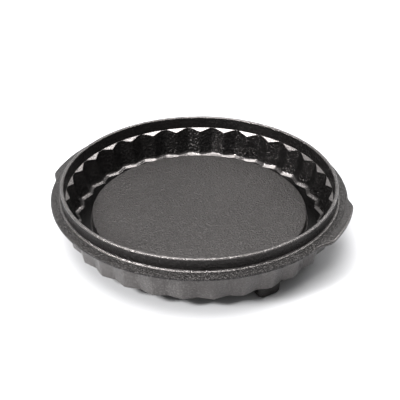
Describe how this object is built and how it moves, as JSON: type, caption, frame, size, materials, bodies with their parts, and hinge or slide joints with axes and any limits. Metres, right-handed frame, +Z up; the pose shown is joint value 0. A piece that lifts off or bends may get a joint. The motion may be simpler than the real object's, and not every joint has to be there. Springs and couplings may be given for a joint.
{
  "type": "fluted tart pan",
  "caption": "Round cast-iron tart pan with a raised middle, a deep fluted wall, a flat flange with side handles and an upright collar, standing on short feet.",
  "frame": {"origin": "centre of the pan at the soles of the feet", "axes": "+Z up through the open top of the pan, +X through the middle of the right handle"},
  "size_m": [0.312, 0.3004, 0.0623],
  "materials": {
    "seasoned_iron": "black seasoned sand-cast iron, fine pebbled grain with a low oily sheen"
  },
  "bodies": {
    "root": {"raised_base": "seasoned_iron", "step_ring": "seasoned_iron", "trough_floor": "seasoned_iron", "fluted_wall": "seasoned_iron", "rim_flange": "seasoned_iron", "lid_collar": "seasoned_iron", "handle_right": "seasoned_iron", "handle_left": "seasoned_iron", "foot_front": "seasoned_iron", "foot_back": "seasoned_iron", "foot_left": "seasoned_iron"}
  },
  "joints": []
}
